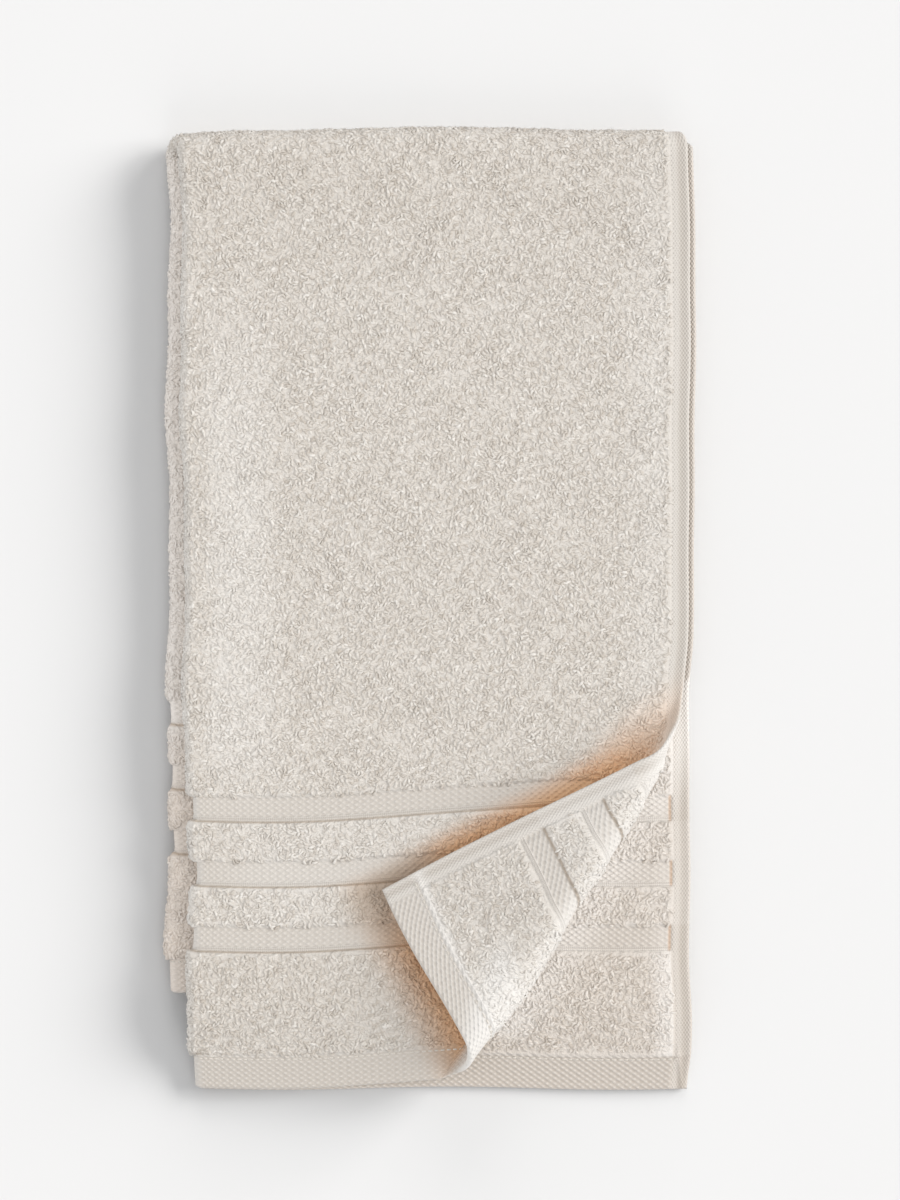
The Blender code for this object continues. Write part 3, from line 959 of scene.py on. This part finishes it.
def loop_points(u, v, face):
    """Points of the loops on the flat cloth, their shares of painted light and shade and of tone, and the way
    that the cloth faces.
    """
    stretch_u, stretch_v = loop_stretch(u, v, face)
    (ahead, beside, off), heading = loop_form(u, v)
    cos, sin = np.cos(heading), np.sin(heading)
    point_u = u[:, None] + (ahead * cos - beside * sin) / stretch_u
    point_v = v[:, None] + (ahead * sin + beside * cos) / stretch_v
    point_v = stop_at_stripes(v[:, None], np.clip(point_v, 0, LENGTH))
    flat = np.stack((point_u, point_v, off * face), axis=-1).reshape(-1, 3)
    across, along = slopes(u, v)
    lie = np.cross(along, across) * face
    lie = np.repeat(lie / np.linalg.norm(lie, axis=1, keepdims=True), LOOP_POINTS, axis=0)
    tone = random.normal(0, TONE_CHANCE, len(u)) + ripples(u, v, TONE_PATCHES)
    climb = np.clip((off - ROOT_HEIGHT) / (TIP_HEIGHT - ROOT_HEIGHT), 0, 1)
    # Painted warm light, painted light and painted shade, as shares of each loop's colour.
    painted_shares = {"painted_warm": painted_warm_share(u, v, face), "painted_light": painted_light_share(u, v), "shade": glow(u, v)[2] * (face > 0)}
    shares = {name: np.repeat(values, LOOP_POINTS) for name, values in painted_shares.items()}
    # Painted shade towards the roots, and tone that differs at random and in patches.
    shares["tip"] = (ROOT_SHADE_CLIMB * climb + tone[:, None]).ravel()
    return flat, shares, lie


def mesh_of_triangles(name, points, triangles):
    """A new piece made of triangles between points."""
    mesh = bpy.data.meshes.new(name)
    mesh.vertices.add(len(points))
    mesh.vertices.foreach_set("co", points.astype(np.float32).ravel())
    mesh.loops.add(triangles.size)
    mesh.loops.foreach_set("vertex_index", triangles.astype(np.int32).ravel())
    mesh.polygons.add(len(triangles))
    mesh.polygons.foreach_set("loop_start", np.arange(0, triangles.size, 3, dtype=np.int32))
    mesh.update(calc_edges=True)
    piece = bpy.data.objects.new(name, mesh)
    bpy.context.scene.collection.objects.link(piece)
    return piece


def add_loops(name, spots, face):
    """Loops on one face of the cloth, in pieces of a size that is easy to handle. Face is 1 or -1."""
    u, v = spots
    order = np.argsort(v, kind="stable")
    pieces = []
    for number, chosen in enumerate(np.array_split(order, math.ceil(len(u) / LOOPS_A_PIECE))):
        flat, shares, lie = loop_points(u[chosen], v[chosen], face)
        triangles = loop_triangles(len(chosen))
        if face > 0:
            triangles = triangles[:, ::-1]
        piece = mesh_of_triangles(f"{name}_{number + 1}", fold(flat), triangles)
        add_uv(piece.data, "OFBake", corner_values(piece.data, flat[:, :2] / (WIDTH, LENGTH)))
        for share, values in shares.items():
            add_value(piece.data, share, values)
        attribute = piece.data.attributes.new("lie", "FLOAT_VECTOR", "POINT")
        attribute.data.foreach_set("vector", lie.astype(np.float32).ravel())
        piece.data.shade_smooth()
        pieces.append(piece)
    return pieces


STITCH_PITCH = 0.0031
STITCH_LENGTH = 0.0026
STITCH_RADIUS = 0.00042
STITCH_SIDES = 5
STITCH_FROM_EDGE = 0.0019
STITCH_FROM_SIDE = 0.006
STITCH_LEAN = 0.04 * MM
STITCH_SUNK = 0.12 * MM  # on the right side
STITCH_STEPS = np.array([-0.5, -0.36, 0.0, 0.36, 0.5])
STITCH_SINK = np.array([-0.55, -0.05, 0.12, -0.05, -0.55]) * MM
STITCH_SIZES = np.array([0.35, 0.95, 1.0, 0.95, 0.35])


def stitch_triangles():
    """One thread's triangles: its rings, joined, and closed at both ends."""
    triangles = []
    last = (len(STITCH_STEPS) - 1) * STITCH_SIDES
    for ring in range(0, last, STITCH_SIDES):
        for j in range(STITCH_SIDES):
            a = ring + j
            b = ring + (j + 1) % STITCH_SIDES
            triangles += [(a, b, b + STITCH_SIDES), (a, b + STITCH_SIDES, a + STITCH_SIDES)]
    for j in range(1, STITCH_SIDES - 1):
        triangles += [(0, j + 1, j), (last, last + j, last + j + 1)]
    return np.array(triangles)


def add_stitches():
    """The hems' sewing: a row of short threads on each face of both hems."""
    turn = np.linspace(0, 2 * math.pi, STITCH_SIDES, endpoint=False)
    across = STITCH_RADIUS * STITCH_SIZES[:, None] * np.cos(turn)[None]
    up = STITCH_RADIUS * STITCH_SIZES[:, None] * np.sin(turn)[None]
    block = stitch_triangles()
    points, triangles = [], []
    start = 0
    for hem in (HEM - STITCH_FROM_EDGE, LENGTH - HEM + STITCH_FROM_EDGE):
        for face in (1, -1):
            lift = HEM_BODY if face < 0 else HEM_BODY - STITCH_SUNK
            for u in np.arange(STITCH_FROM_SIDE, WIDTH - STITCH_FROM_SIDE, STITCH_PITCH):
                plan_u = u + STITCH_STEPS[:, None] * STITCH_LENGTH + 0 * turn[None]
                plan_v = hem + STITCH_STEPS[:, None] * STITCH_LEAN + across
                off = lift + STITCH_SINK[:, None] + up
                points.append(np.stack((plan_u, plan_v, off * face), axis=-1).reshape(-1, 3))
                triangles.append((block if face > 0 else block[:, ::-1]) + start)
                start += plan_u.size
    flat = np.concatenate(points)
    piece = mesh_of_triangles("hem_stitches", fold(flat), np.concatenate(triangles))
    add_uv(piece.data, "OFBake", corner_values(piece.data, flat[:, :2] / (WIDTH, LENGTH)))
    piece.data.shade_smooth()
    return piece


class Wire:
    """A shader value that can be added, taken away and multiplied."""

    def __init__(self, paint, socket):
        self.paint = paint
        self.socket = socket

    def maths(self, operation, first, second):
        return self.paint.node("ShaderNodeMath", {"operation": operation}, {0: first, 1: second})

    def __add__(self, other):
        return self.maths("ADD", self, other)

    def __radd__(self, other):
        return self.maths("ADD", other, self)

    def __sub__(self, other):
        return self.maths("SUBTRACT", self, other)

    def __rsub__(self, other):
        return self.maths("SUBTRACT", other, self)

    def __mul__(self, other):
        return self.maths("MULTIPLY", self, other)

    def __rmul__(self, other):
        return self.maths("MULTIPLY", other, self)

    def cosine(self):
        return self.maths("COSINE", self, 0.0)


class Paint:
    """A material's nodes."""

    def __init__(self, name):
        self.material = bpy.data.materials.new(name)
        self.material.use_nodes = True
        self.tree = self.material.node_tree
        self.shader = self.tree.nodes["Principled BSDF"]

    def put(self, socket, value):
        if isinstance(value, Wire):
            self.tree.links.new(value.socket, socket)
        else:
            socket.default_value = value

    def node(self, kind, settings, sockets, output=0):
        """A node with its settings, and the values or links of its sockets."""
        node = self.tree.nodes.new(kind)
        for name, value in settings.items():
            setattr(node, name, value)
        for name, value in sockets.items():
            self.put(node.inputs[name], value)
        return Wire(self, node.outputs[output])

    def share(self, name):
        return self.node("ShaderNodeAttribute", {"attribute_name": name}, {}, "Fac")

    def blend(self, amount, first, second, way="MIX"):
        """A colour between two, or the first one tinted by the second."""
        settings = {"data_type": "RGBA", "blend_type": way}
        return self.node("ShaderNodeMix", settings, {0: amount, 6: first, 7: second}, 2)

    def lit_through(self, colour):
        """The colour with painted light, painted shade and painted warm light put into it."""
        # Painted light: paler where light would come through the cloth.
        colour = self.blend(self.share("painted_light"), colour, PAINTED_LIGHT_COLOUR)
        # Painted shade.
        colour = self.blend(self.share("shade"), colour, SHADE, "MULTIPLY")
        # Painted warm light, where light would come through the cloth.
        return self.blend(self.share("painted_warm"), colour, PAINTED_WARM_COLOUR, "MULTIPLY")

    def surface(self, **sockets):
        for name, value in sockets.items():
            self.put(self.shader.inputs[name.replace("_", " ")], value)

    def dull(self):
        self.shader.inputs["Specular IOR Level"].default_value = 0.2


# Colours of the cotton, and of the light and shade painted into it.
SHADED_ROOT_COTTON = (0.67, 0.61, 0.54, 1)
TIP_COTTON = (0.935, 0.895, 0.84, 1)
WEAVE_DEEP = (0.60, 0.545, 0.485, 1)
WEAVE_HIGH = (0.79, 0.745, 0.69, 1)
THREAD_DEEP = (0.745, 0.695, 0.625, 1)
THREAD_HIGH = (0.80, 0.755, 0.69, 1)
PAINTED_LIGHT_COLOUR = (0.97, 0.945, 0.91, 1)
PAINTED_WARM_COLOUR = (1.0, 0.65, 0.40, 1)
SHADE = (0.74, 0.70, 0.65, 1)
PAINTED_CREASE_SHADE = (0.62, 0.54, 0.46, 1)
LOOP_SOFTNESS = 0.36  # how far light spreads round inside the fuzzy yarn, so that it seems less rounded

# Repeats of the weave's parts in millimetres, and how high each stands.
DOTS_ACROSS = 4.0
DOTS_ALONG = 2.8
DOT_HEIGHT = 0.46
DOT_SUNK = 0.12
ROW_HEIGHT = 0.04
RIB_HEIGHT = 0.07
BEADS_ACROSS = 1.5
BEADS_ALONG = 2.4
BEAD_HEIGHT = 0.18
SELVEDGE_CORDS = 7.4
SELVEDGE_CORD_HEIGHT = 0.22
CORDS = 1.25
CORDS_TURN = 0.72
CORD_HEIGHT = 0.16
CORD_THREADS = 0.95
CORD_THREAD_HEIGHT = 0.05
CURL_HEIGHT = 1.6
FUZZ_HEIGHT = 0.10
HOLLOW_SHADE_BY_HEIGHT = 2.0
TONE_LEVEL = 0.56
TONE_OF_SELVEDGE = 0.12
TONE_OF_HEM = -0.24
TONE_OF_RIM = -0.35


def loop_cotton():
    """Looped yarn, with painted shade that makes it darker and warmer towards the roots."""
    paint = Paint("looped_cotton_yarn")
    spot = paint.node("ShaderNodeTexCoord", {}, {}, "Object")
    fibres = paint.node("ShaderNodeTexNoise", {}, {"Vector": spot, "Scale": 2600.0, "Detail": 2.0}, "Fac")
    normal = paint.node("ShaderNodeBump", {}, {"Height": fibres, "Distance": 0.10 * MM, "Strength": 1.0})
    lie = paint.node("ShaderNodeAttribute", {"attribute_name": "lie"}, {}, "Vector")
    normal = paint.node("ShaderNodeMix", {"data_type": "VECTOR"}, {0: LOOP_SOFTNESS, 4: normal, 5: lie}, 1)
    normal = paint.node("ShaderNodeVectorMath", {"operation": "NORMALIZE"}, {0: normal})
    colour = paint.lit_through(paint.blend(paint.share("tip"), SHADED_ROOT_COTTON, TIP_COTTON))
    paint.surface(Base_Color=colour, Normal=normal, Roughness=0.92, Sheen_Weight=0.25, Sheen_Roughness=0.6)
    paint.dull()
    return paint.material


def ground_cotton():
    """The woven ground: small raised dots in the hems and flat bands, slanting ribs on their reverse."""
    paint = Paint("woven_cotton_ground")
    whole = 2 * math.pi
    cloth = paint.node("ShaderNodeUVMap", {"uv_map": "cloth"}, {})
    parts = paint.tree.nodes.new("ShaderNodeSeparateXYZ")
    paint.put(parts.inputs[0], cloth)
    u = Wire(paint, parts.outputs["X"]) * 1000
    v = Wire(paint, parts.outputs["Y"]) * 1000
    dots = (u * (whole / DOTS_ACROSS)).cosine() * (v * (whole / DOTS_ALONG)).cosine()
    dots = (dots * 0.5 + 0.5) * (dots * 0.5 + 0.5)
    rows = (v * (whole / DOTS_ALONG)).cosine() * ROW_HEIGHT
    ribs = (u * (whole / DOTS_ACROSS) + v * (whole / DOTS_ALONG)).cosine() * paint.share("reverse")
    weave = paint.share("weave") * (dots * DOT_HEIGHT - DOT_SUNK + rows + ribs * RIB_HEIGHT)
    beads = (u * (whole / BEADS_ACROSS)).cosine() * (v * (whole / BEADS_ALONG)).cosine() * BEAD_HEIGHT
    side = u.maths("MINIMUM", u, WIDTH / MM - u)
    beads = beads + (side * (whole / SELVEDGE_CORDS)).cosine() * SELVEDGE_CORD_HEIGHT
    cords = (paint.share("inside") * (whole / CORDS) - whole * CORDS_TURN).cosine() * CORD_HEIGHT
    cords = (u * (whole / CORD_THREADS)).cosine() * CORD_THREAD_HEIGHT + cords
    spot = paint.node("ShaderNodeTexCoord", {}, {}, "Object")
    fuzz = paint.node("ShaderNodeTexNoise", {}, {"Vector": spot, "Scale": 1500.0, "Detail": 3.0}, "Fac")
    curls = paint.node("ShaderNodeTexNoise", {}, {"Vector": spot, "Scale": 420.0, "Detail": 2.0}, "Fac")
    height = weave + paint.share("edge") * beads + paint.share("stripe") * cords
    height = height + paint.share("pile") * curls * CURL_HEIGHT + fuzz * FUZZ_HEIGHT
    normal = paint.node("ShaderNodeBump", {}, {"Height": height, "Distance": MM, "Strength": 1.0})
    # The weave's low parts are painted darker, as painted shade in its hollows.
    tone = height * HOLLOW_SHADE_BY_HEIGHT + TONE_LEVEL + paint.share("edge") * TONE_OF_SELVEDGE
    tone = tone + paint.share("hem") * TONE_OF_HEM + paint.share("rim") * TONE_OF_RIM
    tone = paint.node("ShaderNodeClamp", {}, {"Value": tone})
    colour = paint.lit_through(paint.blend(tone, WEAVE_DEEP, WEAVE_HIGH))
    # Painted shade in the grooves at the bands' edges.
    colour = paint.blend(paint.share("painted_crease_shade"), colour, PAINTED_CREASE_SHADE, "MULTIPLY")
    paint.surface(Base_Color=colour, Normal=normal, Roughness=0.9, Sheen_Weight=0.2, Sheen_Roughness=0.6)
    paint.dull()
    return paint.material


def thread_cotton():
    """Smooth sewing thread, twisted."""
    paint = Paint("cotton_thread")
    spot = paint.node("ShaderNodeTexCoord", {}, {}, "Object")
    twist = paint.node("ShaderNodeTexNoise", {}, {"Vector": spot, "Scale": 2200.0, "Detail": 2.0}, "Fac")
    normal = paint.node("ShaderNodeBump", {}, {"Height": twist, "Distance": 0.15 * MM, "Strength": 1.0})
    colour = paint.blend(twist, THREAD_DEEP, THREAD_HIGH)
    paint.surface(Base_Color=colour, Normal=normal, Roughness=0.7, Sheen_Weight=0.2)
    return paint.material


# The studio: a pale floor, soft light and a camera straight above.
FLOOR_SIZE = 40
FLOOR_COLOUR = (0.674, 0.675, 0.677, 1)
SUN_COLOUR = (1.0, 0.985, 0.965)
SKY_COLOUR = (0.985, 0.99, 1.0, 1)
SKY_STRENGTH = 0.60
CAMERA_AT = (0.01047, 0.00478, 1.66)
CAMERA_LENS = 100
CAMERA_SENSOR = 36


def add_floor():
    """The pale floor that the towel lies on."""
    deselect()
    bpy.ops.mesh.primitive_plane_add(size=FLOOR_SIZE)
    floor = bpy.context.object
    floor.name = "floor"
    paint = Paint("pale_floor")
    paint.surface(Base_Color=FLOOR_COLOUR, Roughness=0.8)
    floor.data.materials.append(paint.material)
    return floor


def add_sun(name, energy, spread, towards, pieces):
    """A soft, distant light on some pieces. Towards is the way from them to the light."""
    sun = bpy.data.lights.new(name, "SUN")
    sun.energy = energy
    sun.angle = math.radians(spread)
    sun.color = SUN_COLOUR
    lamp = bpy.data.objects.new(name, sun)
    lamp.rotation_euler = Vector(towards).to_track_quat("Z", "Y").to_euler()
    bpy.context.scene.collection.objects.link(lamp)
    lit = bpy.data.collections.new(name + "_lights_these")
    for piece in pieces:
        lit.objects.link(piece)
    lamp.light_linking.receiver_collection = lit


def add_light(towel, floor):
    """Soft suns: a key and a fill on the towel, and four on the floor that keep its shadow soft and faint."""
    add_sun("key", energy=1.65, spread=46, towards=(0.82, 0.03, 0.57), pieces=towel)
    add_sun("fill", energy=0.60, spread=70, towards=(-0.70, 0.10, 0.70), pieces=towel)
    add_sun("floor_right", energy=2.5, spread=27, towards=(0.90, 0.22, 0.37), pieces=[floor])
    add_sun("floor_between", energy=2.4, spread=27, towards=(0.78, 0.52, 0.36), pieces=[floor])
    add_sun("floor_back", energy=1.2, spread=30, towards=(0.05, 0.90, 0.28), pieces=[floor])
    add_sun("floor_front", energy=0.6, spread=40, towards=(0.25, -0.85, 0.42), pieces=[floor])
    world = bpy.data.worlds.new("studio")
    world.use_nodes = True
    sky = world.node_tree.nodes["Background"]
    sky.inputs["Color"].default_value = SKY_COLOUR
    sky.inputs["Strength"].default_value = SKY_STRENGTH
    bpy.context.scene.world = world
    bpy.context.scene.view_settings.view_transform = "Standard"


def add_camera():
    """The camera looks straight down."""
    camera = bpy.data.cameras.new("camera")
    camera.lens = CAMERA_LENS
    camera.sensor_fit = "VERTICAL"
    camera.sensor_height = CAMERA_SENSOR
    holder = bpy.data.objects.new("camera", camera)
    holder.location = CAMERA_AT
    bpy.context.scene.collection.objects.link(holder)
    bpy.context.scene.camera = holder


ground_cloth = add_ground()
finish_ground(ground_cloth)
ground_cloth.data.materials.append(ground_cotton())
loops = add_loops("front_loops", front_seeds(), 1)
loops += add_loops("fold_loops", fold_seeds(), 1)
loops += add_loops("reverse_loops", reverse_seeds(), -1)
yarn = loop_cotton()
for piece in loops:
    piece.data.materials.append(yarn)
stitches = add_stitches()
stitches.data.materials.append(thread_cotton())
towel = [ground_cloth, stitches] + loops
for piece in towel:
    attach(piece, "root")
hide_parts("towel")
add_light(towel, add_floor())
add_camera()
